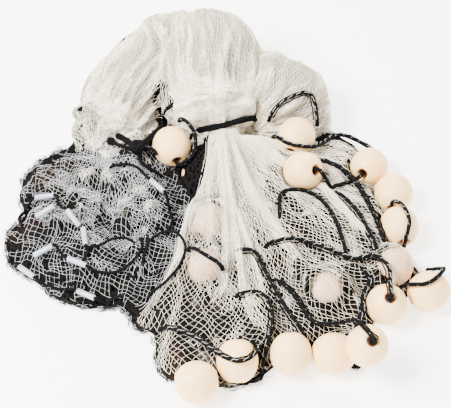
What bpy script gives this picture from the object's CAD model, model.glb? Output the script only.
"""A gathered seine net: white twine netting, black float and lead lines, cream floats, lead sinkers.

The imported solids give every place. Tables below are in millimetres on the floor plan, seen from
above, with +Y towards the bunched bags at the back.
"""

import random
from functools import cache, partial
from math import atan2, cos, exp, hypot, pi, radians, sin, sqrt, tau

import bmesh
import bpy
from mathutils import Matrix, Vector, noise
from mathutils.bvhtree import BVHTree

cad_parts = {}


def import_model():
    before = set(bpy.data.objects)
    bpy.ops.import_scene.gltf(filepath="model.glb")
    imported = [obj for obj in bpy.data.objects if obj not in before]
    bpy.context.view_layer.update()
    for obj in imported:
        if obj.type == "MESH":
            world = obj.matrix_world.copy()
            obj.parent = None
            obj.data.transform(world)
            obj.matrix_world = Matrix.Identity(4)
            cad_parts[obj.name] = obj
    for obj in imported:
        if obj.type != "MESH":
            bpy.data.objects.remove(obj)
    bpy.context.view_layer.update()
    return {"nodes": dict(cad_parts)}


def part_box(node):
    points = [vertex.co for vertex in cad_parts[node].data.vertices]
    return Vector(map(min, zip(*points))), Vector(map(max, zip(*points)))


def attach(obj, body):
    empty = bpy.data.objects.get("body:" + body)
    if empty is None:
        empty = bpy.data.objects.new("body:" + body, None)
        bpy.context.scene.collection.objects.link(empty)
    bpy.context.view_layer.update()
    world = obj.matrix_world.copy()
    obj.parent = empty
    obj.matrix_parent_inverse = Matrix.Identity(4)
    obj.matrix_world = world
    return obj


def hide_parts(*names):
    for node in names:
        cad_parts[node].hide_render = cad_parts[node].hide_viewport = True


bl_info = {
    "name": "Gathered seine net",
    "version": (1, 0, 0),
    "blender": (4, 5, 0),
    "location": "3D View > Sidebar > Net",
    "description": "Dresses the packed net with twine, ropes, floats and sinkers",
    "category": "Object",
}

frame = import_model()

MM = 0.001

# The tables' own origin: float 14 stands here in them
FLOAT_14_PLACE = Vector((-28, -273, 0))
LOW_14, HIGH_14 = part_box("float_14")
SHIFT = ((LOW_14 + HIGH_14) / 2 - FLOAT_14_PLACE * MM) * Vector((1, 1, 0))

# Bunched bags: name, x, y, z, half width, half length, half height, turn, tilt
BAGS = (
    ("left", -122, 186, 46, 54, 108, 56, -24, 6),
    ("corner", -172, 132, 22, 34, 30, 27, 30, 0),
    ("middle", -16, 201, 61, 73, 103, 75, 2, 10),
    ("right", 76, 174, 36, 76, 64, 66, -28, 0),
    ("back", -62, 254, 58, 62, 50, 60, 0, 0),
)
# How far a bag bulges over its neck, mm
BELLIES = {"left": 8.0, "corner": 3.0, "middle": 11.0, "right": 3.0, "back": 0.0}
BELLY_PLACE = -0.70  # where along a bag, from -1 at its neck
# Folds of a bag, along it and across its belly: height in mm, folds in a turn, pace along it
PLEATS = ((5.0, 3.8, 0.9), (3.8, 10, 1.6), (1.2, 21, 2.6))
ARCS = ((4.2, 1.3, 6.5), (2.0, 3, 15))
# Dark gaps on the bags' far shoulder: x, y, half width, half depth, turn, share
SHOULDER_GAPS = (-132, 262, 44, 24, 45, 1.0)
NECK = (1.0, 100.0)  # where the right band holds the netting
NECK_HALF = 30.0  # half the width of the bundle there

# Places where the meshes stand open and the dark inside of the heap shows: x, y, half width,
# half depth, turn, share
OPEN_PLACES = (
    (-170, -72, 110, 84, 24, 1.1),
    (-150, -118, 90, 46, -14, 1.2),
    (-84, -96, 30, 44, 0, 1.2),
    (-244, 36, 34, 44, 0, 1.0),
    (-196, 92, 44, 22, 30, 1.0),
    (-86, -176, 56, 46, 20, 1.3),
    (-60, -232, 34, 34, 0, 1.1),
    (-8, -202, 50, 38, 0, 0.95),
    (52, -206, 32, 66, 10, 1.0),
    (112, -196, 40, 34, -20, 1.0),
    (158, -152, 46, 66, -20, 1.0),
    (100, -150, 26, 36, 0, 0.5),
    (170, 98, 60, 30, 10, 1.3),
    (196, 22, 42, 66, 8, 1.15),
    (206, -104, 46, 40, 0, 0.9),
    (150, -222, 44, 30, 0, 0.9),
    (106, 24, 48, 60, 0, 0.95),
    (-30, -150, 30, 40, 0, 0.7),
    (-72, 128, 12, 24, 0, 1.0),
    (-62, 46, 12, 16, 0, 0.9),
    (-196, 104, 30, 22, 30, 1.2),
    (126, -56, 40, 36, 0, 1.0),
    (84, -30, 26, 40, 20, 0.8),
    (-78, 146, 14, 22, 0, 1.2),
)
# Places among them where the netting is bunched white: the same
WHITE_PLACES = (
    (-110, -14, 30, 26, 0, 0.5),
    (-112, -46, 26, 8, -10, 0.5),
    (-192, -22, 28, 14, 20, 0.45),
    (-186, 44, 34, 12, 12, 0.42),
    (-150, 30, 18, 16, 0, 0.3),
    (-110, 70, 54, 20, -10, 0.72),
    (-136, -88, 30, 10, -10, 0.4),
)
# Ridges of bunched netting: half width, lift, strands, then the places that it runs through
BUNCHES = (
    (7, 5, 46, ((4, 88), (9, 18), (19, -59), (25, -108), (32, -162), (50, -204))),
    (8, 6, 54, ((9, 88), (25, 42), (48, -13), (78, -73), (99, -102))),
    (6, 4, 40, ((-12, 86), (-17, 32), (-36, -16), (-46, -60), (-53, -102), (-75, -146),
                (-104, -179))),
    (8, 4, 46, ((-4, 88), (4, 18), (8, -52), (9, -102), (2, -147), (-18, -180))),
    (7, 4, 40, ((12, 90), (30, 25), (60, -34), (94, -81), (106, -92))),
    (9, 4, 50, ((20, 93), (49, 72), (93, 42), (131, 15), (168, -31), (201, -80))),
    (8, 3, 36, ((17, 95), (54, 90), (104, 63), (145, 37), (183, -8))),
    (6, 4, 36, ((1, 88), (14, -13), (39, -89), (51, -147), (67, -184))),
)
EDGE_RIDGE = 2  # the ridge along the skirt's left edge
# Floats under sheer netting, and how far it is open over them, mm
SHEER_FLOATS = {"15": 29.0, "16": 24.0, "17": 20.0, "07": 22.0}
SHEER_FORWARD = 9.0  # the opening lies this far in front of the float's middle
# Places where the dark of the gaps is rusty brown: x, y, half width, half depth, turn, share
RUSTY_PLACES = (
    (-68, -240, 26, 26, 0, 1.0),
    (-224, 52, 34, 26, 0, 0.8),
    (-256, -28, 26, 30, 0, 0.5),
    (176, -18, 22, 20, 0, 0.6),
    (256, -100, 24, 20, 0, 0.7),
)

# Bores of the floats: name, azimuth and rise in degrees
FLOATS = (
    ("01", -72, -7), ("02", 70, 10), ("03", -37, 36), ("04", -119, 20), ("05", 82, 6),
    ("06", 100, 5), ("07", 60, 0), ("08", -70, 73), ("09", 20, 8), ("10", -64, 67),
    ("11", 4, 0), ("12", 90, 40), ("13", 90, 40), ("14", 8, 0), ("15", 60, 0),
    ("16", 20, 0), ("17", -40, 0), ("18", 80, 0),
)
FLOAT_DIAMETER = 50.0
FLOAT_LENGTH = 53.0
FLOAT_BORE = 11.0
FLOAT_MOUTH = 15.0
PIECE_NAMES = {"float": "net_float", "sinker": "lead_sinker"}

# Runs of the float line: name, float end at its start and at its end, side of the companion
# line (0 for none), places
FLOAT_RUNS = (
    ("01", None, ("01", 1), 0, ((-50, 102), (-37, 88), (-33, 64), (-40, 46))),
    ("02", None, None, 1, ((66, 112), (88, 126), (112, 139), (124, 134), (128, 118))),
    ("03", None, ("04", -1), -1, ((72, 84), (84, 70), (101, 64), (119, 70), (136, 92),
                                  (154, 114), (178, 120), (198, 116), (212, 106))),
    ("04", ("03", 1), ("04", 1), 0, ((142, 10), (160, 20), (172, 30))),
    ("05", None, None, 0, ((75, -31), (76, -6), (88, 3), (110, 3), (128, -9), (142, -33),
                           (152, -67), (157, -91))),
    ("06", None, None, -1, ((133, 44), (153, 40), (171, 26), (182, 8), (196, -28), (206, -66))),
    ("07", None, None, 1, ((152, 4), (164, -8), (178, -30), (191, -68), (194, -84))),
    ("08", None, None, 0, ((223, -10), (234, -30), (238, -52), (232, -70))),
    ("09", None, ("08", 1), 1, ((64, -82), (99, -76), (137, -88), (167, -103), (190, -104),
                                (206, -124), (206, -150))),
    ("10", None, None, -1, ((178, -111), (184, -128), (175, -150), (172, -172), (164, -194))),
    ("11", None, None, 0, ((221, -134), (234, -146), (251, -149), (269, -134), (277, -110),
                           (264, -92))),
    ("12", None, ("10", 1), -1, ((71, -132), (88, -150), (101, -174), (114, -194), (134, -204),
                                 (152, -218), (163, -236))),
    ("13", None, None, 1, ((27, -92), (43, -94), (55, -118), (68, -147), (82, -178),
                           (98, -203))),
    ("14", None, None, 1, ((26, -154), (48, -153), (60, -170), (62, -198), (57, -222),
                           (50, -244))),
    ("15", None, None, -1, ((-66, -195), (-45, -204), (-27, -217), (-8, -240), (5, -254),
                            (23, -260), (39, -250), (47, -226))),
    ("16", None, None, 0, ((-36, -102), (-18, -118), (-2, -124))),
)
# Runs of the lead line: name, sinker end at its start and at its end, places
LEAD_RUNS = (
    ("1", None, ("1", -1), ((-142, 41), (-122, 44), (-104, 35))),
    ("2", ("1", 1), None, ((-66, -18), (-62, -34), (-68, -48))),
    ("3", None, ("2", -1), ((-256, -34), (-262, -16), (-256, -1))),
    ("4", ("2", 1), ("3", -1), ((-210, -8), (-203, -18))),
    ("5", ("4", 1), None, ((-166, -88), (-172, -98))),
    ("6", ("9", 1), ("6", -1), ((-204, -82), (-200, -90))),
    ("7", ("6", 1), None, ((-155, -114), (-137, -116), (-115, -111), (-102, -100), (-98, -82),
                           (-102, -66))),
    ("8", None, None, ((-96, -106), (-90, -74), (-77, -58), (-60, -59), (-47, -77), (-44, -98),
                       (-52, -120), (-68, -138), (-88, -146))),
    ("9", None, None, ((-164, -82), (-152, -78), (-137, -66), (-121, -66), (-109, -76))),
    ("10", ("7", 1), ("8", -1), ((-220, -118), (-202, -128))),
    ("11", ("8", 1), None, ((-142, -146), (-124, -142))),
)
SINKERS = (("1", -48), ("2", -8), ("3", -50), ("4", -80), ("5", 24), ("6", -28), ("7", -40),
           ("8", -32), ("9", 20))
SINKER_DIAMETER = 7.0
SINKER_LENGTH = 27.0
SINKER_BORE = 5.0
# Thicknesses of the lines, and the lashing's pitch, mm
FLOAT_LINE = 5.4
LEAD_LINE = 3.8
COMPANION = 1.8
COMPANION_GAP = 4.6  # from the float line's middle
LASHING = 0.6
LASHING_PITCH = 13.0

# Routes of the ties: x, y, z
RIGHT_BAND = ((-40, 108, 34), (-33, 105, 52), (-17, 99, 64), (4, 98, 70), (24, 104, 72),
              (38, 113, 68), (47, 124, 54), (50, 132, 38))
LEFT_BAND = ((-160, 126, 34), (-146, 106, 48), (-128, 84, 58), (-110, 68, 61), (-94, 84, 60),
             (-82, 104, 56), (-78, 122, 46))
# Each tie: route, how far its three strands lie from it, their twist at each point, diameter
TIES = {"right": (RIGHT_BAND, 2.1, 0.10, 4.8), "left": (LEFT_BAND, 2.0, 0.12, 4.9)}
# Knots of the left tie: size, and turns of cord
LEFT_KNOT = ((19, 16, 15), 5)
END_KNOT = ((8, 8, 7), 3)
TIE_END = 5.0  # diameter of its free ends, whose places follow
TIE_ENDS = (
    ((-112, 64), (-122, 68), (-134, 74), (-146, 84)),
    ((-108, 62), (-104, 50), (-92, 43), (-78, 42)),
    ((-100, 70), (-90, 64), (-84, 54)),
)

# Patches of open netting on the left pile: x, y, half width, half depth, turn, mesh width and
# length, how far they stand off, and how much of them is gathered away
PILE_PATCHES = (
    (-166, -20, 128, 150, 24, 6.8, 7.8, 0.7, -0.55),
    (-150, -96, 92, 56, -14, 7.2, 9.2, 1.8, 0.4),
    (-206, 20, 74, 70, 50, 6.4, 8.0, 1.0, 0.3),
    (-146, 48, 72, 58, -20, 4.6, 7.6, 1.2, -0.1),
    (-104, -40, 54, 84, 6, 6.2, 8.4, 1.6, 0.36),
    (-222, -44, 56, 60, 70, 6.6, 8.0, 2.2, 0.4),
    (-116, -24, 36, 34, 30, 3.6, 6.4, 1.6, -0.3),
    (-190, -10, 46, 30, 20, 4.0, 6.6, 1.6, -0.1),
    (-150, -64, 56, 18, -12, 4.4, 6.8, 2.0, -0.1),
)
# Layers of the skirt's netting: name, fewer meshes across, flare, how far they stand off, seed
SKIRT_LAYERS = (("outer", 0, 0.24, 1.6, 3), ("inner", 16, 0.20, 0.6, 11))
PILE_SIDE = -56.0  # x of the pile's right side
SKIRT_SPAN = (-24, 103)  # of the fan, in degrees from straight ahead
SKIRT_ROWS = 84
SKIRT_ROW = 4.5
BAG_MESH_WIDE = 3.1
BAG_MESH_LONG = 7.0
RIM_TOP = 2.5  # the rim's twine starts below this height
RIM_END = 118.0  # and in front of this y
# Twine round the rim: low and high x, share of the rim's points that have it, length of an end in
# mm, seed
DARK_LOOPS = ((-400, PILE_SIDE, 0.9, 5), (PILE_SIDE, 400, 0.16, 6))
WHITE_LOOPS = ((-400, 400, 0.12, 9),)
DARK_ENDS = ((-400, PILE_SIDE, 0.10, 9, 12), (-110, 150, 0.22, 14, 13))

# The stage, in metres and watts: lamps by name, power, size and place
LAMPS = (
    ("key", 250, 0.9, (-1.2, -0.5, 1.8)),
    ("fill", 36, 2.4, (1.6, -1.2, 1.5)),
    ("back", 90, 1.6, (0.4, 1.8, 1.4)),
)
FLOOR_REACH = 12.0
AIM = (6, 0, 25)  # the camera looks at this place of the tables


def linear(code):
    """An sRGB hex value as linear red, green, blue and alpha."""
    parts = [int(code[k : k + 2], 16) / 255 for k in (1, 3, 5)]
    return (*(c / 12.92 if c <= 0.04045 else ((c + 0.055) / 1.055) ** 2.4 for c in parts), 1.0)


def world(p):
    """A place of the tables, in mm, as one of the frame's, in metres."""
    return Vector(p) * MM + SHIFT


def plan(p):
    """The way back."""
    return (p - SHIFT) / MM


def smooth_step(t):
    t = min(1.0, max(0.0, t))
    return t * t * (3.0 - 2.0 * t)


def spline(points, step):
    """A Catmull-Rom curve through the points, with a point about every step."""
    pts = [Vector(p) for p in points]
    found = []
    for i in range(len(pts) - 1):
        a, b, c, d = (pts[min(max(i + k, 0), len(pts) - 1)] for k in (-1, 0, 1, 2))
        parts = max(1, round((c - b).length / step))
        for k in range(parts):
            t = k / parts
            bend = (2 * a - 5 * b + 4 * c - d) * t * t + (3 * b - a - 3 * c + d) * t**3
            found.append(0.5 * (2 * b + (c - a) * t + bend))
    return [*found, pts[-1]]


def flat_spline(places, step):
    """The same through places on the floor plan."""
    return spline([Vector(p).to_3d() for p in places], step)


def tree_of(mesh):
    return BVHTree.FromPolygons([v.co for v in mesh.vertices], [p.vertices for p in mesh.polygons])


def top_at(x, y, trees, reach=0.0):
    """Height in mm of the highest thing under a place, or under a disc; None for the floor."""
    ring = [(reach * cos(k * pi / 4), reach * sin(k * pi / 4)) for k in range(8)] if reach else []
    starts = [world((x + dx, y + dy, 400)) for dx, dy in ((0, 0), *ring)]
    hits = [tree.ray_cast(start, Vector((0, 0, -1)))[0] for start in starts for tree in trees]
    return max((hit.z / MM for hit in hits if hit is not None), default=None)


def new_object(name, data):
    item = bpy.data.objects.new(name, data)
    bpy.context.scene.collection.objects.link(item)
    return item


def coat(item, finish):
    """The item has one finish of the table and no other."""
    item.data.materials.clear()
    item.data.materials.append(finish_of(finish))
    return item


def applied(item):
    """The item with its modifiers applied."""
    bpy.context.view_layer.update()
    depsgraph = bpy.context.evaluated_depsgraph_get()
    mesh = bpy.data.meshes.new_from_object(item.evaluated_get(depsgraph))
    item.modifiers.clear()
    item.data = mesh
    return item


def dress(item, slot, *nodes):
    """The item rides on the net, takes its finish from a slot and stands for the nodes."""
    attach(item, "root")
    if nodes:
        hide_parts(*nodes)
    return item


def mark(mesh, name, values):
    """Stores a number at each vertex, for a material to read."""
    layer = mesh.attributes.new(name, "FLOAT", "POINT")
    layer.data.foreach_set("value", values)


def lines_mesh(name, lines):
    """Open lines of points in mm, as edges."""
    verts, edges = [], []
    for line in lines:
        start = len(verts)
        verts += [world(p) for p in line]
        edges += [(start + k, start + k + 1) for k in range(len(line) - 1)]
    mesh = bpy.data.meshes.new(name)
    mesh.from_pydata(verts, edges, [])
    return mesh


def feed(node, inputs):
    """Sets a node's inputs: a value, a hex colour, a socket, or a node for its first output."""
    for key, value in inputs.items():
        found = node.inputs[key] if isinstance(key, int) else None
        found = found or next(s for s in node.inputs if s.name == key and s.enabled)
        if isinstance(value, bpy.types.Node):
            value = next(s for s in value.outputs if s.enabled)
        if isinstance(value, bpy.types.NodeSocket):
            node.id_data.links.new(value, found)
        else:
            found.default_value = linear(value) if str(value).startswith("#") else value


def add_node(tree, kind, inputs=None, **settings):
    """Adds a node with its settings and inputs."""
    node = tree.nodes.new(kind)
    for key, value in settings.items():
        setattr(node, key, value)
    feed(node, inputs or {})
    return node


def cordage_tree():
    """Geometry Nodes: every line of edges becomes a round cord, with its lay stored along it."""
    tree = bpy.data.node_groups.new("cordage", "GeometryNodeTree")
    sockets = {"Lines": "Geometry", "Radius": "Float", "Sides": "Int", "Finish": "Material"}
    for name, kind in sockets.items():
        tree.interface.new_socket(name, in_out="INPUT", socket_type=f"NodeSocket{kind}")
    tree.interface.new_socket("Cords", in_out="OUTPUT", socket_type="NodeSocketGeometry")
    add = partial(add_node, tree)
    given = add("NodeGroupInput").outputs
    route = add("GeometryNodeMeshToCurve", {"Mesh": given["Lines"]})
    ring = add(
        "GeometryNodeCurvePrimitiveCircle",
        {"Resolution": given["Sides"], "Radius": given["Radius"]},
    )
    kept = []
    for curve, name, measure in ((route, "Along", "Length"), (ring, "Around", "Factor")):
        holder = add("GeometryNodeCaptureAttribute", {"Geometry": curve})
        holder.capture_items.new("FLOAT", name)
        feed(holder, {name: add("GeometryNodeSplineParameter").outputs[measure]})
        kept.append(holder)
    along, around = kept
    shape = add(
        "GeometryNodeCurveToMesh", {"Curve": along, "Profile Curve": around, "Fill Caps": True}
    )
    lay = add("ShaderNodeCombineXYZ", {"X": along.outputs["Along"], "Y": around.outputs["Around"]})
    shape = add(
        "GeometryNodeStoreNamedAttribute",
        {"Geometry": shape, "Name": "lay", "Value": lay},
        data_type="FLOAT_VECTOR",
    )
    shape = add("GeometryNodeRealizeInstances", {"Geometry": shape})
    shape = add("GeometryNodeSetShadeSmooth", {"Geometry": shape})
    shape = add("GeometryNodeSetMaterial", {"Geometry": shape, "Material": given["Finish"]})
    add("NodeGroupOutput", {"Cords": shape})
    return tree


def cordage(name, lines, diameter, sides, finish):
    """Cords along lines of points in mm, as one plain mesh with a finish of the table."""
    tree = bpy.data.node_groups.get("cordage") or cordage_tree()
    item = new_object(name, lines_mesh(name, lines))
    step = item.modifiers.new("cordage", "NODES")
    step.node_group = tree
    sockets = {s.name: s.identifier for s in tree.interface.items_tree if s.in_out == "INPUT"}
    step[sockets["Radius"]] = diameter / 2 * MM
    step[sockets["Sides"]] = sides
    step[sockets["Finish"]] = finish_of(finish)
    return coat(applied(item), finish)


# Materials

RANGE = ("From Min", "From Max", "To Min", "To Max")
# What the bunched netting's vertices store for its finish
MARKS = ("crease", "opening", "rust", "flow")
# Sizes of the patterns, mm. A twine's own strands, 0.2 mm, are too fine to show, so the netting's
# streaks stand for many twines side by side and are drawn as coarse as they show.
DRIFT_SIZE = 30.3
STREAK_SIZE = 2.0833
SPECK_SIZE = 2.381
TWINE_CLOUDS = 16.667
FLOAT_CLOUDS = 29.412
FLOAT_GRAIN = 1.1111
LEAD_CLOUDS = 4.5455


def cells(size):
    """A pattern's scale, from the size in mm of what it repeats or of its lumps."""
    return 1 / (size * MM)


def new_material(name, values):
    """A material, its adder of nodes, and its shader with these values on its own sockets."""
    made = bpy.data.materials.new(name)
    made.use_nodes = True
    shader = made.node_tree.nodes["Principled BSDF"]
    feed(shader, values)
    return made, partial(add_node, made.node_tree), shader


def diamond_lines(add, place, wide, long, line):
    """1 on the twine of a diamond mesh and 0 in its gaps, from a place whose units are metres."""
    parts = add("ShaderNodeSeparateXYZ", {0: place})
    across = add("ShaderNodeMath", {0: parts.outputs["X"], 1: 1 / wide}, operation="MULTIPLY")
    up = add("ShaderNodeMath", {0: parts.outputs["Y"], 1: 1 / long}, operation="MULTIPLY")
    near = []
    for sign in ("ADD", "SUBTRACT"):
        slant = add("ShaderNodeMath", {0: across, 1: up}, operation=sign)
        near.append(add("ShaderNodeMath", {0: slant, 1: 0.5}, operation="PINGPONG"))
    least = add("ShaderNodeMath", {0: near[0], 1: near[1]}, operation="MINIMUM")
    ends = zip(RANGE, (line * 0.7, line * 1.3, 1.0, 0.0))
    return add("ShaderNodeMapRange", {"Value": least, **dict(ends)})


def bunched_netting(name):
    """Knotted nylon twine netting, machine made and bunched in many layers: soft white streaks
    where it is dense, and diamond gaps with the dark inside of the heap where it lies open."""
    made, add, shader = new_material(name, {"Roughness": 0.9, "Specular IOR Level": 0.0})
    stored = {key: add("ShaderNodeAttribute", attribute_name=key).outputs for key in MARKS}
    opening = stored["opening"]["Fac"]
    spot = add("ShaderNodeTexCoord").outputs["Object"]
    # Twine of the layers below wanders by 3 mm over 30 mm
    drift = add(
        "ShaderNodeTexNoise", {"Vector": spot, "Scale": cells(DRIFT_SIZE), "Detail": 1.0}
    )
    centred = add(
        "ShaderNodeVectorMath",
        {0: drift.outputs["Color"], 1: (0.5, 0.5, 0.5)},
        operation="SUBTRACT",
    )
    scaled = add("ShaderNodeVectorMath", {0: centred, "Scale": 14 * MM}, operation="SCALE")
    moved = add("ShaderNodeVectorMath", {0: spot, 1: scaled}, operation="ADD")
    turned = add("ShaderNodeVectorRotate", {"Vector": moved, "Angle": radians(38)})
    lines = diamond_lines(add, moved, 6.6 * MM, 8.4 * MM, 0.13)
    more = diamond_lines(add, turned, 7.4 * MM, 8.0 * MM, 0.09)
    below = add("ShaderNodeMath", {0: lines, 1: more}, operation="MAXIMUM")
    ends = zip(RANGE, (0.35, 0.62, 1.0, 0.0))
    fewer = add("ShaderNodeMapRange", {"Value": opening, **dict(ends)})
    both = add("ShaderNodeMath", {0: below, 1: fewer}, operation="MULTIPLY")
    # Drawn twine lies in streaks about 2 mm wide
    flow = stored["flow"]["Vector"]
    streak = add(
        "ShaderNodeTexNoise", {"Vector": flow, "Scale": cells(STREAK_SIZE), "Detail": 3.0}
    )
    ends = zip(RANGE, (0.46, 0.74, 0.0, 0.9))
    shade = add("ShaderNodeMapRange", {"Value": streak, **dict(ends)})
    shade = add("ShaderNodeMath", {0: stored["crease"]["Fac"], 1: shade}, operation="MAXIMUM")
    white = add(
        "ShaderNodeMix", {"Factor": shade, "A": "#FCF1DA", "B": "#544D44"}, data_type="RGBA"
    )
    # Gaps between dense layers: 2 mm dark specks, more of them where the netting opens
    speck = add(
        "ShaderNodeTexNoise", {"Vector": spot, "Scale": cells(SPECK_SIZE), "Detail": 2.0}
    )
    ends = zip(RANGE, (0.0, 0.7, 0.55, 0.46))
    level = add("ShaderNodeMapRange", {"Value": opening, **dict(ends)})
    ends = zip(RANGE, (level, 0.74, 0.0, 1.0))
    specks = add("ShaderNodeMapRange", {"Value": speck, **dict(ends)})
    specked = add(
        "ShaderNodeMix", {"Factor": specks, "A": white, "B": "#171412"}, data_type="RGBA"
    )
    dark = add(
        "ShaderNodeMix",
        {"Factor": stored["rust"]["Fac"], "A": "#030303", "B": "#2A1710"},
        data_type="RGBA",
    )
    deep = add("ShaderNodeMix", {"Factor": below, "A": dark, "B": "#141312"}, data_type="RGBA")
    ends = zip(RANGE, (0.12, 0.5, 0.0, 1.0))
    gap = add("ShaderNodeMapRange", {"Value": opening, **dict(ends)})
    between = add("ShaderNodeMath", {0: 1.0, 1: both}, operation="SUBTRACT")
    share = add("ShaderNodeMath", {0: gap, 1: between}, operation="MULTIPLY")
    tone = add("ShaderNodeMix", {"Factor": share, "A": specked, "B": deep}, data_type="RGBA")
    height = add("ShaderNodeMath", {0: both, 1: streak}, operation="ADD")
    bump = add("ShaderNodeBump", {"Height": height, "Strength": 0.6, "Distance": 0.8 * MM})
    feed(shader, {"Base Color": tone, "Normal": bump})
    return made


def mottled(add, size, detail, light, dark):
    """Clouds of about so many mm, and the two tones that they mix."""
    spot = add("ShaderNodeTexCoord").outputs["Object"]
    clouds = add("ShaderNodeTexNoise", {"Vector": spot, "Scale": cells(size), "Detail": detail})
    tone = add("ShaderNodeMix", {"Factor": clouds, "A": light, "B": dark}, data_type="RGBA")
    return clouds, tone


def twine_finish(name, light, dark):
    """Twisted nylon twine, heat set: dull white with a little sheen, a shade darker in places."""
    made, add, shader = new_material(name, {"Roughness": 0.62, "Specular IOR Level": 0.2})
    _, tone = mottled(add, TWINE_CLOUDS, 3.0, light, dark)
    feed(shader, {"Base Color": tone})
    return made


def braid_finish(name, colour, pitch):
    """Braided polyester rope, dyed black: matt, with slanting strands that catch a little light."""
    made, add, shader = new_material(name, {"Roughness": 0.8, "Specular IOR Level": 0.05})
    lay = add("ShaderNodeAttribute", attribute_name="lay").outputs["Vector"]
    parts = add("ShaderNodeSeparateXYZ", {0: lay}).outputs
    along = add("ShaderNodeMath", {0: parts["X"], 1: cells(pitch)}, operation="MULTIPLY")
    # Six strands run round the rope each way
    around = add("ShaderNodeMath", {0: parts["Y"], 1: 6.0}, operation="MULTIPLY")
    waves = []
    for sign in ("ADD", "SUBTRACT"):
        slant = add("ShaderNodeMath", {0: along, 1: around}, operation=sign)
        waves.append(add("ShaderNodeMath", {0: slant, 1: 0.5}, operation="PINGPONG"))
    weave = add("ShaderNodeMath", {0: waves[0], 1: waves[1]}, operation="MULTIPLY")
    tone = add("ShaderNodeMix", {"Factor": weave, "A": colour, "B": "#17171A"}, data_type="RGBA")
    bump = add("ShaderNodeBump", {"Height": weave, "Strength": 0.8, "Distance": 0.6 * MM})
    feed(shader, {"Base Color": tone, "Normal": bump})
    return made


def float_finish(name, light, dark):
    """Moulded foam plastic: warm cream, faintly mottled, with a soft glow, and brown in its bore."""
    glow = {"Subsurface Weight": 0.12, "Subsurface Radius": (6 * MM, 4 * MM, 3 * MM)}
    made, add, shader = new_material(name, {"Roughness": 0.42, **glow})
    _, tone = mottled(add, FLOAT_CLOUDS, 3.0, light, dark)
    bore = add("ShaderNodeAttribute", attribute_name="bore").outputs["Fac"]
    deep = add("ShaderNodeMix", {"Factor": bore, "A": tone, "B": "#8E4620"}, data_type="RGBA")
    spot = add("ShaderNodeTexCoord").outputs["Object"]
    grain = add(
        "ShaderNodeTexNoise", {"Vector": spot, "Scale": cells(FLOAT_GRAIN), "Detail": 2.0}
    )
    bump = add("ShaderNodeBump", {"Height": grain, "Strength": 0.15, "Distance": 0.2 * MM})
    feed(shader, {"Base Color": deep, "Normal": bump})
    return made


def sinker_finish(name, light, dark):
    """Cast lead with a pale oxide skin: dull blue grey, uneven."""
    made, add, shader = new_material(name, {"Metallic": 0.3, "Roughness": 0.5})
    clouds, tone = mottled(add, LEAD_CLOUDS, 4.0, light, dark)
    bump = add("ShaderNodeBump", {"Height": clouds, "Strength": 0.35, "Distance": 0.3 * MM})
    feed(shader, {"Base Color": tone, "Normal": bump})
    return made


def floor_finish(name, colour):
    """Pale matt paper that gives off a little light, so it stays even and pale round the net."""
    values = {"Roughness": 0.9, "Emission Color": (1, 1, 1, 1), "Emission Strength": 2.0}
    return new_material(name, {"Base Color": colour, **values})[0]


# Each finish: its maker, then its colours, and how far apart a braid's strands are in mm
FINISHES = {
    "bunched white nylon netting": (bunched_netting,),
    "undyed nylon twine": (twine_finish, "#FAF0DA", "#E3D8C0"),
    "white nylon twine": (twine_finish, "#F4F5F4", "#D6D8D9"),
    "black selvage twine": (twine_finish, "#0A0909", "#1D1815"),
    "white lashing twine": (twine_finish, "#C9C5BC", "#A5A097"),
    "black braided rope": (braid_finish, "#060607", 7.0),
    "black tie cord": (braid_finish, "#050506", 5.0),
    "cream float plastic": (float_finish, "#FCD898", "#EFBE78"),
    "shaded float plastic": (float_finish, "#DDB796", "#C29A7A"),
    "cast lead sinker": (sinker_finish, "#B4BAC4", "#7D8694"),
    "pale paper floor": (floor_finish, "#F7F6F4"),
}


def finish_of(name):
    """A finish of the table, made once."""
    maker, *values = FINISHES[name]
    return bpy.data.materials.get(name) or maker(name, *values)


# The netting's surface: how far its meshes stand open, and its folds

OPENING_CELL = 3.0  # the openings are worked out once for each square of this size, mm
SKIRT_OPENING = 0.6
PILE_OPENING = 0.9
PILE_LEAST = 0.47  # opening of the pile's whitest places
PILE_TOP = 104.0  # y where the pile meets the bags
BAG_TOP = 88.0  # above this the netting is only bags, which are drawn shut
RIM_HEIGHT = 20.0  # below this the pile's rim shows dark
STREAK_LENGTH = 8.0  # a streak of bunched twine is this many times as long as it is wide
VOXEL = 3.2  # of the netting's remeshed surface, mm
FLOOR_TRIM = 1.6  # the heap is open underneath, up to this height
SKIN = {}  # trees of the meshes that cords and strands lie on


def ellipse_share(x, y, row):
    """A row's share at a place: all of it in the middle of its ellipse, and less from there out."""
    cx, cy, wide, deep, turn, share = row
    c, s = cos(radians(turn)), sin(radians(turn))
    u, v = (c * (x - cx) + s * (y - cy)) / wide, (-s * (x - cx) + c * (y - cy)) / deep
    return share * smooth_step(1.6 - 1.2 * hypot(u, v))


def most_share(x, y, rows):
    return max(ellipse_share(x, y, row) for row in rows)


BUNCH_LINES = [(wide, flat_spline(places, 12)) for wide, _, _, places in BUNCHES]


def skirt_edge(y):
    """x of the skirt's left edge, which is one of the ridges."""
    near = min(BUNCH_LINES[EDGE_RIDGE][1], key=lambda p: abs(p.y - y))
    return near.x - 3.0


def bunched_at(x, y):
    """How closely a place lies to a ridge of bunched netting, 0 to 1."""
    best = 0.0
    for wide, line in BUNCH_LINES:
        far, k = min((hypot(x - p.x, y - p.y), k) for k, p in enumerate(line))
        fade = smooth_step((1 - k / len(line)) / 0.45)
        best = max(best, fade * exp(-((far / (0.9 * wide)) ** 2)))
    return best


@cache
def floats_under():
    """Middle of the opening over each float under sheer netting, and its reach."""
    forward = Vector((0, SHEER_FORWARD, 0))
    return [(plan(middle_of(f"float_{name}")) - forward, reach) for name, reach in SHEER_FLOATS.items()]


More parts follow.
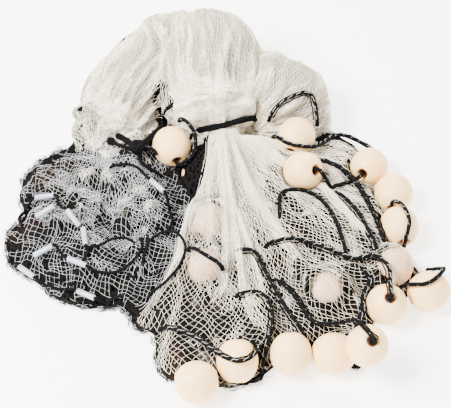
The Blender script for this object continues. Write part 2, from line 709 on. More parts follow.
def opening_at(x, y, z=0.0):
    """How far the meshes stand open at a place, 0 to 1."""
    if z > BAG_TOP:
        patchy = smooth_step(0.5 + 2 * noise.noise(Vector((x, y, z)) / 12))
        return ellipse_share(x, y, SHOULDER_GAPS) * patchy
    return opening_in(round(x / OPENING_CELL), round(y / OPENING_CELL))


@cache
def opening_in(column, row):
    x, y = column * OPENING_CELL, row * OPENING_CELL
    edge, far = skirt_edge(y), hypot(x - NECK[0], y - NECK[1])
    uneven = 0.35 * noise.noise(Vector((x, y, 0)) / 26) + 0.2 * noise.noise(Vector((x, y, 5)) / 9)
    skirt = SKIRT_OPENING * smooth_step((far - 40) / 100) if y < NECK[1] and x > edge else 0.0
    pile = PILE_OPENING * smooth_step((edge + 6 - x) / 6) * smooth_step((PILE_TOP - y) / 24)
    sheer = max(smooth_step((reach + 12 - hypot(x - m.x, y - m.y)) / 8) for m, reach in floats_under())
    wide = max(most_share(x, y, OPEN_PLACES), skirt, pile, sheer)
    found = wide * (1 - most_share(x, y, WHITE_PLACES)) + (uneven if wide > 0.05 else 0)
    bunched = bunched_at(x, y) * (1 - sheer) if x > edge else 0.0
    return min(1.0, max(0.0, found)) * (1 - 0.65 * bunched)


def bag_axes(row):
    turn, tilt = radians(row[7]), radians(row[8])
    return Matrix.Rotation(turn, 3, "Z") @ Matrix.Rotation(tilt, 3, "X")


def bag_place(p, row):
    """Where p is on a bag: round it, along it from -1 at its neck, and how far out of it."""
    q = bag_axes(row).transposed() @ (p - Vector(row[1:4]))
    q = Vector((q.x / row[4], q.y / row[5], q.z / row[6]))
    return atan2(q.z, q.x), q.y, q.length


def nearest_bag(p):
    return min(BAGS, key=lambda row: bag_place(p, row)[2])


def on_a_bag(p):
    return bag_place(p, nearest_bag(p))[2] < 1.14


def ridge(spot):
    """Noise with round tops and sharp creases, about -1 to 1."""
    return 3.2 * abs(noise.noise(spot)) - 1.0


def round_ridge(turns, around, along):
    """The same on a tube, with about so many folds in a turn."""
    return ridge(Vector((turns * cos(around), turns * sin(around), along)))


def folds(rows, around, along, seed):
    """Height of a table's folds together."""
    return sum(
        high * round_ridge(turns, around, along * pace + (-1) ** k * seed)
        for k, (high, turns, pace) in enumerate(rows)
    )


def crosswise(row, along):
    """Share of the folds that run across a bag, round the bottom of its belly."""
    return smooth_step((BELLY_PLACE + 0.25 - along) / 0.2) if BELLIES[row[0]] > 5 else 0.0


def bag_relief(row, around, along):
    seed = row[1]
    swell = exp(-(((along - BELLY_PLACE) / 0.2) ** 2)) * smooth_step(0.5 + sin(around))
    swirl = around + 0.35 * noise.noise(Vector((along * 1.6, seed, 3)))
    # The pleats are deepest at the neck and shallow at the far end
    pleats = folds(PLEATS, swirl, along, seed) * (0.35 + 0.65 * smooth_step(0.5 - 0.6 * along))
    across = crosswise(row, along)
    arcs = folds(ARCS, around, along, seed)
    return BELLIES[row[0]] * swell + (1 - across) * pleats + across * arcs


def skirt_relief(x, y):
    """Folds that fan out from the neck, and the ridges on them, mm."""
    dx, dy = x - NECK[0], y - NECK[1]
    way, far = atan2(dx, -dy), hypot(dx, dy)
    wide = ridge(Vector((way * 8, far / 150, 5)))
    fine = ridge(Vector((way * 22, far / 70, 9)))
    return smooth_step(far / 60) * (3.0 * wide + 1.8 * fine) + 5.0 * bunched_at(x, y)


def pile_relief(p):
    """Crumples of two sizes, without a direction, mm."""
    return 6.4 * ridge(p / 30 + Vector((7, 0, 0))) + 2.4 * ridge(p / 11)


def relief_at(p):
    """How far the netting stands out at a place beyond its solid, mm."""
    bag = nearest_bag(p)
    around, along, out = bag_place(p, bag)
    on_bag = smooth_step((1.45 - out) / 0.3)
    on_pile = smooth_step((-62 - p.x) / 24) * (1 - on_bag)
    on_skirt = (1 - on_bag) * (1 - on_pile)
    total = on_bag * bag_relief(bag, around, along) if on_bag else 0.0
    total += on_pile * pile_relief(p) if on_pile else 0.0
    return total + (on_skirt * skirt_relief(p.x, p.y) if on_skirt else 0.0)


def flow_at(p):
    """A place for the streaks' noise, in metres: across the drawn meshes, and slower along them."""
    bag = nearest_bag(p)
    around, along, out = bag_place(p, bag)
    if out < 1.35:
        wide = 1 + crosswise(bag, along) * (1 / STREAK_LENGTH - 1)
        reach, long = wide * (bag[4] + bag[6]) / 2, along * bag[5] / (STREAK_LENGTH * wide)
        spot = Vector((reach * cos(around), reach * sin(around), long))
    elif p.x < -62:
        spot = p * 0.6
    else:
        dx, dy = p.x - NECK[0], p.y - NECK[1]
        spot = Vector((atan2(dx, -dy) * 170, hypot(dx, dy) / STREAK_LENGTH, 0))
    return spot * MM


def folded_opening(p, high):
    """The opening at a place of the surface: the pile's creases and its rim are dark."""
    found = opening_at(*p)
    if p.x > PILE_SIDE or on_a_bag(p):
        return found
    valley, crest = smooth_step(-0.28 * high - 0.1), smooth_step(0.3 * high - 0.3)
    rim = smooth_step((RIM_HEIGHT - p.z) / 5)
    return min(1.0, max(PILE_LEAST, found + 0.8 * valley - 0.08 * crest + rim))


def crease_at(p, high):
    """How far a low place is shaded, 0 to 1."""
    return smooth_step(0.5 - 0.22 * high) * (0.75 if on_a_bag(p) else 1.0)


def even_heap():
    """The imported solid's shape in small even faces."""
    mesh = frame["nodes"]["netting"].data.copy()
    shape = bmesh.new()
    shape.from_mesh(mesh)
    bmesh.ops.remove_doubles(shape, verts=shape.verts, dist=1e-6)
    shape.to_mesh(mesh)
    shape.free()
    mesh.materials.clear()
    item = new_object("netting_bunched", mesh)
    even = item.modifiers.new("even faces", "REMESH")
    even.mode = "VOXEL"
    even.voxel_size = VOXEL * MM
    even.use_smooth_shade = True
    return applied(item)


def fold(shape):
    """Opens the heap underneath and folds it. Gives back the folds' height at each vertex."""
    floor = [
        f for f in shape.faces if f.calc_center_median().z < FLOOR_TRIM * MM and f.normal.z < -0.5
    ]
    bmesh.ops.delete(shape, geom=floor, context="FACES")
    axes = {f"use_axis_{axis}": True for axis in "xyz"}
    for _ in range(3):
        bmesh.ops.smooth_vert(shape, verts=shape.verts, factor=0.5, **axes)
    shape.normal_update()
    lift = [relief_at(plan(v.co)) for v in shape.verts]
    for vert, high in zip(shape.verts, lift):
        vert.co += vert.normal * high * smooth_step(plan(vert.co).z / 10) * MM
        vert.co.z = max(vert.co.z, 0.4 * MM)
    return lift


def open_over_floats(shape):
    """Takes the surface away where only single strands lie over a float."""
    holes = []
    for face in shape.faces:
        c = plan(face.calc_center_median())
        if any(c.z > m.z and hypot(c.x - m.x, c.y - m.y) < reach for m, reach in floats_under()):
            holes.append(face)
    bmesh.ops.delete(shape, geom=holes, context="FACES")


def heap_surface():
    """The outer layers of the netting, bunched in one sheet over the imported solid's shape."""
    item = even_heap()
    shape = bmesh.new()
    shape.from_mesh(item.data)
    lift = fold(shape)
    places = [plan(v.co) for v in shape.verts]
    shape.to_mesh(item.data)
    mark(item.data, "crease", [crease_at(p, high) for p, high in zip(places, lift)])
    mark(item.data, "opening", [folded_opening(p, high) for p, high in zip(places, lift)])
    mark(item.data, "rust", [most_share(p.x, p.y, RUSTY_PLACES) for p in places])
    flow = item.data.attributes.new("flow", "FLOAT_VECTOR", "POINT")
    flow.data.foreach_set("vector", [c for p in places for c in flow_at(p)])
    SKIN["whole"] = tree_of(item.data)
    shape.clear()
    shape.from_mesh(item.data)
    open_over_floats(shape)
    shape.to_mesh(item.data)
    shape.free()
    return coat(item, "bunched white nylon netting")


# Twine


def zigzags(grid):
    """The strands of a diamond mesh whose knots are grid[row][column], None where there is none."""
    lines = []
    for lean in (0, 1):
        for column in range(len(grid[0])):
            line = []
            for row, knots in enumerate([*grid, []]):
                at = column - (row % 2 if lean else 0)
                knot = knots[at] if 0 <= at < len(knots) else None
                if knot is not None:
                    line.append(knot)
                    continue
                if len(line) > 1:
                    lines.append(line)
                line = []
    return lines


def grid_of(rows, columns, knot_at):
    """Rows of knots. Each odd row is half a mesh along."""
    return [[knot_at(k, i + 0.5 * (k % 2)) for i in range(columns)] for k in range(rows)]


def sheer_at(x, y):
    return any(hypot(x - m.x, y - m.y) < reach + 3 for m, reach in floats_under())


def netting_top(x, y):
    """Height of the netting at a place; it lies over the floats that it covers."""
    trees = [SKIN["whole"], *(SKIN[f"float_{name}"] for name in SHEER_FLOATS)]
    return top_at(x, y, trees if sheer_at(x, y) else trees[:1])


def laid_knot(x, y, off, rng):
    """A knot of the netting so far over what lies there; None off the heap."""
    z = netting_top(x, y)
    if z is None or z < 1.0:
        return None
    return Vector((x, y, z + off + rng.random() * 1.2))


def skirt_strands(columns, flare, off, seed, inner):
    """A fan of netting from the neck: its meshes are drawn shut there, and open at the hem."""
    rng = random.Random(seed)
    start, end = (radians(a) for a in SKIRT_SPAN)

    def knot_at(k, i):
        far = 8 + k * SKIRT_ROW
        share = i / columns
        share += 0.036 * noise.noise(Vector((share * 9, far / 160, seed)))
        share += 0.014 * noise.noise(Vector((share * 30, far / 60, seed + 4)))
        way = (start + (end - start) * share) * (0.86 + flare * (far / 330) ** 2)
        x = NECK[0] + NECK_HALF * (2 * share - 1) + far * sin(way) + rng.uniform(-1.3, 1.3)
        y = NECK[1] + 4 - far * cos(way) + rng.uniform(-1.3, 1.3)
        patchy = noise.noise(Vector((x, y, seed)) / 24) < 0.16
        bare = x < skirt_edge(y) or (inner and patchy and opening_at(x, y) > 0.4)
        return None if bare else laid_knot(x, y, off, rng)

    return grid_of(SKIRT_ROWS, columns, knot_at)


def pile_strands(row, seed):
    """One crumpled patch of netting on the left pile."""
    rng = random.Random(seed)
    noise.seed_set(seed)
    cx, cy, wide, deep, turn, mesh_wide, mesh_long, off, bare = row
    c, s = cos(radians(turn)), sin(radians(turn))

    def knot_at(k, i):
        u, v = -wide + i * mesh_wide, -deep + k * mesh_long / 2
        if hypot(u / wide, v / deep) > 1 + 0.2 * noise.noise(Vector((u, v, seed)) / 20):
            return None
        x, y = cx + c * u - s * v, cy + s * u + c * v
        drift = noise.noise_vector(Vector((x, y, seed * 9)) / 34) * 13
        drift += noise.noise_vector(Vector((x, y, seed * 5)) / 13) * 3.2
        x, y = x + drift.x, y + drift.y
        if x > skirt_edge(y) + 2 or noise.noise(Vector((x, y, seed * 3)) / 30) < bare:
            return None
        knot = laid_knot(x, y, off, rng)
        hidden = knot and knot.z < 14 and noise.noise(Vector((x, y, seed)) / 9) < 0.1 - knot.z / 30
        return None if hidden else knot

    return grid_of(round(4 * deep / mesh_long), round(2 * wide / mesh_wide), knot_at)


def bag_strands(row, columns, rows, seed):
    """Netting drawn round a bag, from its neck to its far end."""
    rng = random.Random(seed)
    axes, middle = bag_axes(row), Vector(row[1:4])
    wide, long, high = row[4:7]

    def knot_at(k, i):
        polar = pi * (0.02 + 0.978 * k / (rows - 1))
        around = tau * i / columns
        around += 0.16 * noise.noise(Vector((cos(around) * 4, sin(around) * 4, polar * 2 + seed)))
        out = sin(polar)
        aim = axes @ Vector((wide * out * cos(around), -long * cos(polar), high * out * sin(around)))
        reach = aim.length * 1.3 * MM
        hit = SKIN["whole"].ray_cast(world(middle), aim.normalized(), reach)[0]
        if hit is None or hit.z < 5 * MM:
            return None
        return plan(hit) + aim.normalized() * (0.7 + rng.random())

    return grid_of(rows, columns + 1, knot_at)


def bunched_strands():
    """Strands that run along the ridges, close together, and wander over each other."""
    rng = random.Random(7)
    lines = []
    for number, (wide, lift, count, places) in enumerate(BUNCHES):
        route = flat_spline(places, 5.0)
        ways = [side for _, side, _ in frames(route)]
        for strand in range(count):
            start = rng.randint(0, len(route) // 3) if strand % 3 else 0
            end = len(route) - rng.randint(0, len(route) // 2)
            place, phase = rng.gauss(0, 0.5), rng.random() * 50
            line = []
            for k in range(start, end):
                spread = 0.75 + 0.55 * (k / len(route)) ** 2
                off = place + 0.28 * noise.noise(Vector((k / 5, phase, number)))
                p = route[k] + ways[k] * wide * off * spread * (1 if k % 2 else 0.93)
                z = netting_top(p.x, p.y)
                if z is None:
                    continue
                high = lift * exp(-off * off * 2) * rng.random()
                line.append(Vector((p.x, p.y, z + 0.6 + high)))
            if len(line) > 2:
                lines.append(line)
    return lines


def rim_places(low_x, high_x, each, rng):
    """Places on the netting's rim at the floor between two x, with their way out."""
    for vert in bpy.data.objects["netting_bunched"].data.vertices:
        p, out = plan(vert.co), Vector((vert.normal.x, vert.normal.y, 0))
        on_rim = vert.co.z < RIM_TOP * MM and low_x < p.x < high_x and p.y < RIM_END
        if on_rim and out.length > 0.3 and rng.random() <= each:
            yield p, out.normalized()


def rim_loops(low_x, high_x, each, seed):
    """Small slack loops of twine, tangled along the rim."""
    rng = random.Random(seed)
    lines = []
    for p, out in rim_places(low_x, high_x, each, rng):
        side = Vector((-out.y, out.x, 0))
        wide, high = rng.uniform(3, 8), rng.uniform(2, 9)
        reach, lean = rng.uniform(0.5, 4.0), rng.uniform(-0.5, 0.5)
        start, sweep = rng.uniform(0, tau), rng.uniform(2.5, 5.5)
        line = []
        for k in range(10):
            a = start + sweep * k / 9
            far = reach * (1 + sin(2 * a + start)) / 2 - lean * high
            spot = p + side * wide * cos(a) + out * far
            line.append(Vector((spot.x, spot.y, 0.7 + high * (1 + sin(a)) / 2)))
        lines.append(line)
    return lines


def loose_ends(low_x, high_x, each, long, seed):
    """Cut ends of twine that lie on the floor beside the rim, each with a small curl."""
    rng = random.Random(seed)
    lines = []
    for p, out in rim_places(low_x, high_x, each, rng):
        way = atan2(out.y, out.x) + rng.gauss(0, 0.7)
        bend = rng.gauss(0, 0.35)
        line = [Vector((p.x, p.y, 2.5)) - out * 3]
        for k in range(6):
            way += bend + rng.gauss(0, 0.2)
            spot = line[-1] + Vector((cos(way), sin(way), 0)) * rng.uniform(0.6, 1.4) * long / 6
            spot.z = max(0.4, 2.5 - k)
            line.append(spot)
        lines.append(line)
    return lines


def netting_sheet(name, grids, diameter, finish):
    """One layer of twine netting, from its grids of knots."""
    lines = [line for grid in grids for line in zigzags(grid)]
    item = cordage(name, lines, diameter, 3, finish)
    long = sum((b - a).length for line in lines for a, b in zip(line, line[1:]))
    # The real panel's cut isn't known, so the flat size comes from the twine that is drawn here
    dress(item, "netting")
    return item


# Floats and sinkers


def turned_mesh(name, profile, sides):
    """A closed profile of (radius, height, mark), in mm, spun about Z."""
    shape = bmesh.new()
    layer = shape.verts.layers.float.new("bore")
    rings = []
    for k in range(sides):
        a = tau * k / sides
        ring = []
        for r, z, tone in profile:
            vert = shape.verts.new((r * cos(a) * MM, r * sin(a) * MM, z * MM))
            vert[layer] = tone
            ring.append(vert)
        rings.append(ring)
    for a, b in zip(rings, rings[1:] + rings[:1]):
        for k in range(len(profile)):
            m = (k + 1) % len(profile)
            shape.faces.new((a[k], b[k], b[m], a[m]))
    bmesh.ops.recalc_face_normals(shape, faces=shape.faces)
    for face in shape.faces:
        face.smooth = True
    mesh = bpy.data.meshes.new(name)
    shape.to_mesh(mesh)
    shape.free()
    return mesh


def float_profile():
    """Half of a barrel with a flared bore: radius, height, and how brown it is."""
    long, radius = FLOAT_LENGTH / 2, FLOAT_DIAMETER / 2
    mouth, bore = FLOAT_MOUTH / 2, FLOAT_BORE / 2
    start = atan2(mouth + 1.4, radius) * 1.1
    rows = []
    for k in range(23):
        a = start + (pi - 2 * start) * k / 22
        rows.append((radius * sin(a) ** 0.92, long * cos(a), 0.0))
    end = rows[0][1]
    lip = [
        (mouth + 0.9, end + 0.25, 0.0),
        (mouth + 0.1, end - 0.2, 0.1),
        (mouth - 0.8, end - 1.4, 0.45),
        (bore + 0.4, end - 3.4, 0.8),
        (bore, end - 6, 1.0),
    ]
    return [*reversed(lip), *rows, *((r, -z, t) for r, z, t in lip)]


def axis_of(azimuth, rise):
    a, b = radians(azimuth), radians(rise)
    return Vector((cos(a) * cos(b), sin(a) * cos(b), sin(b)))


def middle_of(node):
    low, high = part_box(node)
    return (low + high) / 2


def make_turned(kind, name, profile, sides, axis, finish):
    """A turned float or sinker in its node's place, with its axis along a direction."""
    piece, node = f"{PIECE_NAMES[kind]}_{name}", f"{kind}_{name}"
    mesh = turned_mesh(piece, profile, sides)
    turn = axis.to_track_quat("Z", "Y").to_matrix().to_4x4()
    mesh.transform(Matrix.Translation(middle_of(node)) @ turn)
    dress(coat(new_object(piece, mesh), finish), kind, node)
    SKIN[node] = tree_of(mesh)


def make_floats():
    for name, azimuth, rise in FLOATS:
        finish = "shaded float plastic" if name in SHEER_FLOATS else "cream float plastic"
        make_turned("float", name, float_profile(), 44, axis_of(azimuth, rise), finish)


def sinker_axis(name, way):
    """A sinker's direction: its plan direction, and the rise that its node's box shows."""
    low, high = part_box(f"sinker_{name}")
    tall = (high.z - low.z) / MM

    def miss(rise):
        b = radians(rise)
        return abs(SINKER_LENGTH * sin(b) + SINKER_DIAMETER * cos(b) - tall)

    rise = min((half / 2 for half in range(91)), key=miss)
    flat, middle = axis_of(way, 0), (low + high) / 2
    places = [v.co - middle for v in frame["nodes"][f"sinker_{name}"].data.vertices]
    ahead = max((p.dot(flat), p.z) for p in places)
    return axis_of(way, rise if ahead[1] > 0 else -rise)


def make_sinkers():
    """The sinkers, and where each is: name to (middle in mm, axis)."""
    outer, bore, half = SINKER_DIAMETER / 2, SINKER_BORE / 2, SINKER_LENGTH / 2
    rounding = ((0.9, 0.0), (0.35, 0.25), (0.0, 0.9))
    top = [(bore, half - 0.4, 0.0), *((outer - a, half - b, 0.0) for a, b in rounding)]
    profile = [*top, *((r, -z, t) for r, z, t in reversed(top))]
    poses = {}
    for name, way in SINKERS:
        axis = sinker_axis(name, way)
        make_turned("sinker", name, profile, 24, axis, "cast lead sinker")
        poses[name] = (plan(middle_of(f"sinker_{name}")), axis)
    return poses


# Lines and ties


def frames(route):
    """Place, side and up at each point of a route."""
    for k, p in enumerate(route):
        ahead = (route[min(k + 1, len(route) - 1)] - route[max(k - 1, 0)]).normalized()
        side = ahead.cross(Vector((0, 0, 1)))
        side = side.normalized() if side.length > 0.05 else Vector((1, 0, 0))
        yield p, side, side.cross(ahead)


def laid_route(places, diameter, trees, step):
    """A cord's route on what lies under it: it rests on the high places and spans the hollows."""
    flat = flat_spline(places, step)
    tops = [top_at(p.x, p.y, trees, diameter / 2 + 0.6) or 0.0 for p in flat]
    heights = [max(tops[max(0, k - 1) : k + 2]) + diameter / 2 + 0.2 for k in range(len(flat))]
    sag = 0.35 * step / diameter
    inner = range(1, len(flat) - 1)
    for _ in range(24):
        for k in inner:
            heights[k] = max(heights[k], (heights[k - 1] + heights[k + 1]) / 2 - sag * 0.1)
    for _ in range(3):
        mean = [(heights[k - 1] + 2 * heights[k] + heights[k + 1]) / 4 for k in inner]
        heights = [heights[0], *mean, heights[-1]]
    return [Vector((p.x, p.y, z)) for p, z in zip(flat, heights)]


def tucked(route, diameter):
    """Two points past each free end of the route, dipped into the netting."""
    for end, inner in ((0, 1), (-1, -2)):
        way = (route[end] - route[inner]).normalized()
        way.z = 0
        first = route[end] + way * diameter * 0.9 - Vector((0, 0, diameter * 0.55))
        second = first + way * diameter * 0.5 - Vector((0, 0, diameter * 1.2))
        for p in (first, second):
            p.z = max(p.z, diameter * 0.55)
        yield [first, second]


def bore_entry(end):
    """From outside a float to inside its bore, along its axis."""
    name, side = end
    row = next(r for r in FLOATS if r[0] == name)
    axis = axis_of(*row[1:]) * side
    mouth = plan(middle_of(f"float_{name}")) + axis * FLOAT_LENGTH / 2
    return [mouth + axis * 0.9 * FLOAT_LINE, mouth, mouth - axis * 1.2 * FLOAT_LINE]


def with_ends(route, start, end, diameter, entry):
    """The route with what comes before and after it: a way into a float or sinker, or a dip."""
    first, last = tucked(route, diameter)
    ahead = entry(start)[::-1] if start else first[::-1]
    behind = entry(end) if end else last
    return [*ahead, *route, *behind]


def smoothed(route, step):
    """The same route with even, round bends."""
    coarse = [route[0]]
    for p in route[1:-1]:
        if (p - coarse[-1]).length > 2.2 * step:
            coarse.append(p)
    coarse.append(route[-1])
    return spline(coarse, step)


def lashing(route, radius, pitch, seed):
    """A thread that is wound round a rope: a few close turns, then a long slanting one."""
    line, run, last = [], 0.0, route[0]
    for p, side, up in frames(spline(route, 1.6)):
        run += (p - last).length
        last = p
        turn = run / pitch
        whole = int(turn)
        angle = tau * (whole + smooth_step((turn - whole) * 1.6)) + seed
        line.append(p + (side * cos(angle) + up * sin(angle)) * radius)
    return line


def beside(route, off, seed):
    """A thin line that follows a rope, and wanders a little away from it."""
    line = []
    for k, (p, side, _) in enumerate(frames(route)):
        far = off * (1 + 0.5 * noise.noise(Vector((k / 4, seed, 0))))
        spot = p + side * far
        z = top_at(spot.x, spot.y, [SKIN["whole"]]) or 0
        spot.z = max(p.z - 1.2, z + 1.4) if abs(p.z - z) < 14 else p.z - 1.0
        line.append(spot)
    return line


def make_float_line():
    trees = list(SKIN.values())
    lashings, companions = [], []
    for k, (name, start, end, side, places) in enumerate(FLOAT_RUNS):
        route = laid_route(places, FLOAT_LINE, trees, 4.0)
        route = smoothed(with_ends(route, start, end, FLOAT_LINE, bore_entry), 3.0)
        item = cordage(f"float_rope_{name}", [route], FLOAT_LINE, 14, "black braided rope")
        trees.append(tree_of(item.data))
        dress(item, "rope", f"float_line_{name}")
        inner = route[3:-3]
        lashings.append(lashing(inner, FLOAT_LINE / 2 + 0.1, LASHING_PITCH, k))
        if side:
            companions.append(beside(inner, side * COMPANION_GAP, k))
    dress(cordage("float_rope_lashing", lashings, LASHING, 4, "white lashing twine"), "netting")
    dress(cordage("companion_line", companions, COMPANION, 7, "black braided rope"), "rope")


def make_lead_line(poses):
    trees = list(SKIN.values())

    def socket(end):
        middle, axis = poses[end[0]]
        axis = axis * end[1]
        face = middle + axis * SINKER_LENGTH / 2
        return [face + axis * LEAD_LINE, face, face - axis * 3]

    for name, start, end, places in LEAD_RUNS:
        route = laid_route(places, LEAD_LINE, trees, 3.0)
        route = smoothed(with_ends(route, start, end, LEAD_LINE, socket), 2.5)
        item = cordage(f"lead_rope_{name}", [route], LEAD_LINE, 12, "black braided rope")
        dress(item, "rope", f"lead_line_{name}")


def laid_strands(route, radius, twist):
    """Three strands round a route, with a slow twist."""
    lines = []
    for turn in (0, tau / 3, 2 * tau / 3):
        line = []
        for k, (p, side, up) in enumerate(frames(route)):
            a = twist * k + turn
            line.append(p + (side * radius * cos(a) + up * radius * sin(a)))
        lines.append(line)
    return lines


def wound_knot(middle, size, turns):
    """A cord wound over itself in a ball."""
    line = []
    for k in range(turns * 26 + 1):
        a = tau * k / 26
        b = a * (turns + 1) / turns
        r = 0.62 + 0.30 * cos(b)
        spot = Vector((size[0] * r * cos(a), size[1] * r * sin(a), size[2] * 0.6 * sin(b)))
        line.append(middle + spot * 0.5)
    return line


def left_knot():
    """The left tie's knot, its free ends, and the small knot at the tip of one."""
    middle = Vector(LEFT_BAND[3])
    trees = [SKIN["whole"], SKIN["float_01"]]
    ends = [[middle, *laid_route(places, TIE_END, trees, 4.0)] for places in TIE_ENDS]
    return [wound_knot(middle, *LEFT_KNOT), *ends, wound_knot(ends[0][-1], *END_KNOT)]


def make_ties():
    for side, (places, radius, twist, diameter) in TIES.items():
        lines = laid_strands(spline(places, 3.0), radius, twist)
        lines += left_knot() if side == "left" else []
        item = cordage(f"tie_band_{side}", lines, diameter, 10, "black tie cord")
        dress(item, "band", f"tie_{side}")


# Settings, operators and panel


class NetSettings(bpy.types.PropertyGroup):
    twine: bpy.props.FloatProperty(
        name="Twine", description="Thickness of the netting's twine", default=0.5 * MM, unit="LENGTH"
    )
    pile_twine: bpy.props.FloatProperty(
        name="Pile twine",
        description="Thickness of the twine on the left pile",
        default=0.31 * MM,
        unit="LENGTH",
    )
    fine_twine: bpy.props.FloatProperty(
        name="Bag twine",
        description="Thickness of the twine on the bags",
        default=0.6 * MM,
        unit="LENGTH",
    )
    columns: bpy.props.IntProperty(
        name="Meshes across", description="Meshes across the skirt, from side to side", default=118
    )


class StageSettings(bpy.types.PropertyGroup):
    elevation: bpy.props.FloatProperty(
        name="Elevation",
        description="Camera's angle over the floor",
        default=radians(50),
        subtype="ANGLE",
    )
    distance: bpy.props.FloatProperty(
        name="Distance", description="Camera to the net", default=1.8, unit="LENGTH"
    )
    lens: bpy.props.FloatProperty(name="Lens", description="Focal length, mm", default=110.5)


class NET_OT_surface(bpy.types.Operator):
    """The bunched netting over the heap, in place of its solid"""

    bl_idname = "net.surface"
    bl_label = "Bunched netting"

    def execute(self, context):
        item = heap_surface()
        dress(item, "netting", "netting")
        return {"FINISHED"}


class NET_OT_skirt(bpy.types.Operator):
    """The skirt's twine, in two fans of diamond mesh"""

    bl_idname = "net.skirt"
    bl_label = "Skirt netting"

    def execute(self, context):
        size = context.scene.net_settings
        for name, fewer, flare, off, seed in SKIRT_LAYERS:
            grid = skirt_strands(size.columns - fewer, flare, off, seed, name == "inner")
            twine = size.twine / MM
            netting_sheet(f"skirt_net_{name}", [grid], twine, "undyed nylon twine")
        return {"FINISHED"}


class NET_OT_pile(bpy.types.Operator):
    """Patches of open diamond mesh on the left pile"""

    bl_idname = "net.pile"
    bl_label = "Left pile netting"

    def execute(self, context):
        twine = context.scene.net_settings.pile_twine / MM
        for part, rows in enumerate((PILE_PATCHES[:4], PILE_PATCHES[4:])):
            grids = [pile_strands(row, 20 + 10 * part + k) for k, row in enumerate(rows)]
            netting_sheet(f"pile_net_{part + 1}", grids, twine, "white nylon twine")
        return {"FINISHED"}


class NET_OT_rim(bpy.types.Operator):
    """Dark slack loops and cut ends of twine round the rim"""

    bl_idname = "net.rim"
    bl_label = "Rim twine"

    def execute(self, context):
        thick = context.scene.net_settings.twine / MM
        for name, make, rows, twines, finish, slot in (
            ("rim_loops_dark", rim_loops, DARK_LOOPS, 1.7, "black selvage twine", "rope"),
            ("rim_loops_white", rim_loops, WHITE_LOOPS, 0.8, "white nylon twine", "netting"),
            ("loose_ends_dark", loose_ends, DARK_ENDS, 0.7, "black selvage twine", "rope"),
        ):
            lines = [line for row in rows for line in make(*row)]
            dress(cordage(name, lines, twines * thick, 3, finish), slot)
        return {"FINISHED"}


class NET_OT_bunches(bpy.types.Operator):
    """Ridges where the netting is drawn together, strand by strand"""

    bl_idname = "net.bunches"
    bl_label = "Bunched ridges"

    def execute(self, context):
        twine = context.scene.net_settings.twine / MM
        item = cordage("bunched_ridges", bunched_strands(), twine, 3, "undyed nylon twine")
        dress(item, "netting")
        return {"FINISHED"}


class NET_OT_bags(bpy.types.Operator):
    """Fine mesh drawn round the bunched bags"""

    bl_idname = "net.bags"
    bl_label = "Bag netting"

    def execute(self, context):
        twine = context.scene.net_settings.fine_twine / MM
        for k, row in enumerate(BAGS):
            wide, long, high = row[4:7]
            columns = round(pi * (wide + high) / BAG_MESH_WIDE)
            rows = round(pi * (long + (wide + high) / 2) / 2 / BAG_MESH_LONG)
            grid = bag_strands(row, columns, rows, 40 + k)
            netting_sheet(f"bag_net_{row[0]}", [grid], twine, "undyed nylon twine")
        return {"FINISHED"}


class NET_OT_floats(bpy.types.Operator):
    """The moulded floats with their flared bores"""

    bl_idname = "net.floats"
    bl_label = "Floats"

    def execute(self, context):
        make_floats()
        return {"FINISHED"}


class NET_OT_ties(bpy.types.Operator):
    """The two black ties"""

    bl_idname = "net.ties"
    bl_label = "Ties"

    def execute(self, context):
        make_ties()
        return {"FINISHED"}


class NET_OT_lead_line(bpy.types.Operator):
    """The sinkers and the lead line that runs through them"""

    bl_idname = "net.lead_line"
    bl_label = "Lead line"

    def execute(self, context):
        make_lead_line(make_sinkers())
        return {"FINISHED"}


class NET_OT_float_line(bpy.types.Operator):
    """The float line with its lashing and its thin companion line"""

    bl_idname = "net.float_line"
    bl_label = "Float line"

    def execute(self, context):
        make_float_line()
        return {"FINISHED"}


def set_up(name, data, spot, way):
    """A lamp or a camera at a spot, in metres, that looks along a way."""
    item = new_object(name, data)
    item.location = spot
    item.rotation_euler = way.to_track_quat("-Z", "Y").to_euler()
    return item


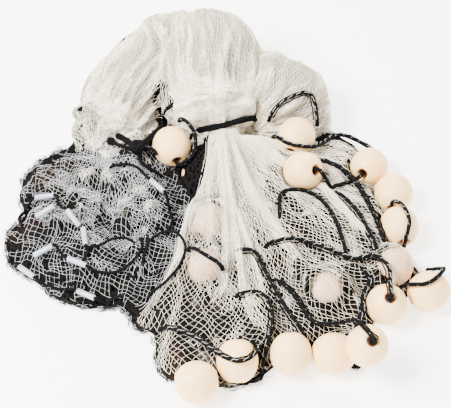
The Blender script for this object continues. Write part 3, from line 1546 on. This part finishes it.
class NET_OT_stage(bpy.types.Operator):
    """A pale floor, soft lights and the camera"""

    bl_idname = "net.stage"
    bl_label = "Stage"

    def execute(self, context):
        size = context.scene.stage_settings
        mesh = bpy.data.meshes.new("floor")
        low, high = -FLOOR_REACH, FLOOR_REACH
        corners = ((low, low, 0), (high, low, 0), (high, high, 0), (low, high, 0))
        mesh.from_pydata(corners, [], [(0, 1, 2, 3)])
        coat(new_object("floor", mesh), "pale paper floor")
        for name, power, wide, spot in LAMPS:
            lamp = bpy.data.lights.new(name, "AREA")
            lamp.energy, lamp.size = power, wide
            set_up(name, lamp, spot, -Vector(spot))
        sky = bpy.data.worlds.new("soft light")
        sky.use_nodes = True
        feed(sky.node_tree.nodes["Background"], {"Color": (1, 1, 1, 1), "Strength": 1.9})
        context.scene.world = sky
        camera = bpy.data.cameras.new("camera")
        camera.lens, camera.sensor_width = size.lens, 36
        back = Vector((0, -cos(size.elevation), sin(size.elevation)))
        spot = world(AIM) + back * size.distance
        context.scene.camera = set_up("camera", camera, spot, -back)
        return {"FINISHED"}


class NET_PT_panel(bpy.types.Panel):
    """The net's steps, in order"""

    bl_idname = "NET_PT_panel"
    bl_label = "Gathered net"
    bl_space_type = "VIEW_3D"
    bl_region_type = "UI"
    bl_category = "Net"

    def draw(self, context):
        for settings in (context.scene.net_settings, context.scene.stage_settings):
            for name in settings.bl_rna.properties.keys():
                if name not in ("rna_type", "name"):
                    self.layout.prop(settings, name)
        for step in STEPS:
            self.layout.operator(step.bl_idname)


STEPS = (
    NET_OT_surface,
    NET_OT_floats,
    NET_OT_skirt,
    NET_OT_pile,
    NET_OT_rim,
    NET_OT_bunches,
    NET_OT_bags,
    NET_OT_ties,
    NET_OT_lead_line,
    NET_OT_float_line,
    NET_OT_stage,
)
CLASSES = (NetSettings, StageSettings, *STEPS, NET_PT_panel)


def register():
    for made in CLASSES:
        bpy.utils.register_class(made)
    bpy.types.Scene.net_settings = bpy.props.PointerProperty(type=NetSettings)
    bpy.types.Scene.stage_settings = bpy.props.PointerProperty(type=StageSettings)


def unregister():
    del bpy.types.Scene.stage_settings
    del bpy.types.Scene.net_settings
    for made in reversed(CLASSES):
        bpy.utils.unregister_class(made)


def main():
    register()
    for step in STEPS:
        group, name = step.bl_idname.split(".")
        getattr(getattr(bpy.ops, group), name)()


if __name__ == "__main__":
    main()
